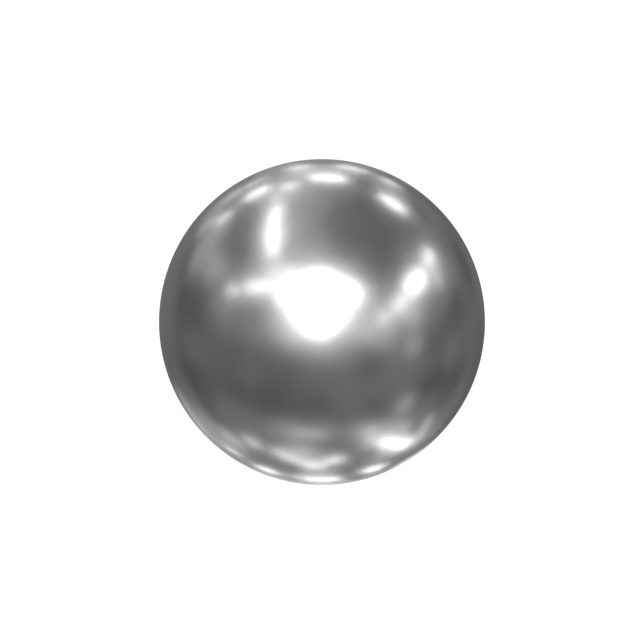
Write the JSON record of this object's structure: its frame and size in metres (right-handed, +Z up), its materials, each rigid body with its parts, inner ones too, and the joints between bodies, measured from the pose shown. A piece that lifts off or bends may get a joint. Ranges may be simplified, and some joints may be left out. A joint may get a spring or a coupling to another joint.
{
  "type": "steel ball",
  "caption": "Plain solid steel ball with a fine satin polish; rolls, rests in a cup, ring or race, or serves as a weight.",
  "frame": {"origin": "centre of the ball", "axes": "+Z up; the ball is alike in every direction, so X and Y have no special meaning. Its lowest point is (0, 0, -0.0127)"},
  "size_m": [0.0254, 0.0254, 0.0254],
  "materials": {
    "polished_steel": "ground and lapped steel with a fine, even satin polish that reflects softly in every direction alike; bare metal, no plating and no paint"
  },
  "bodies": {
    "root": {"ball": "polished_steel"}
  },
  "joints": []
}
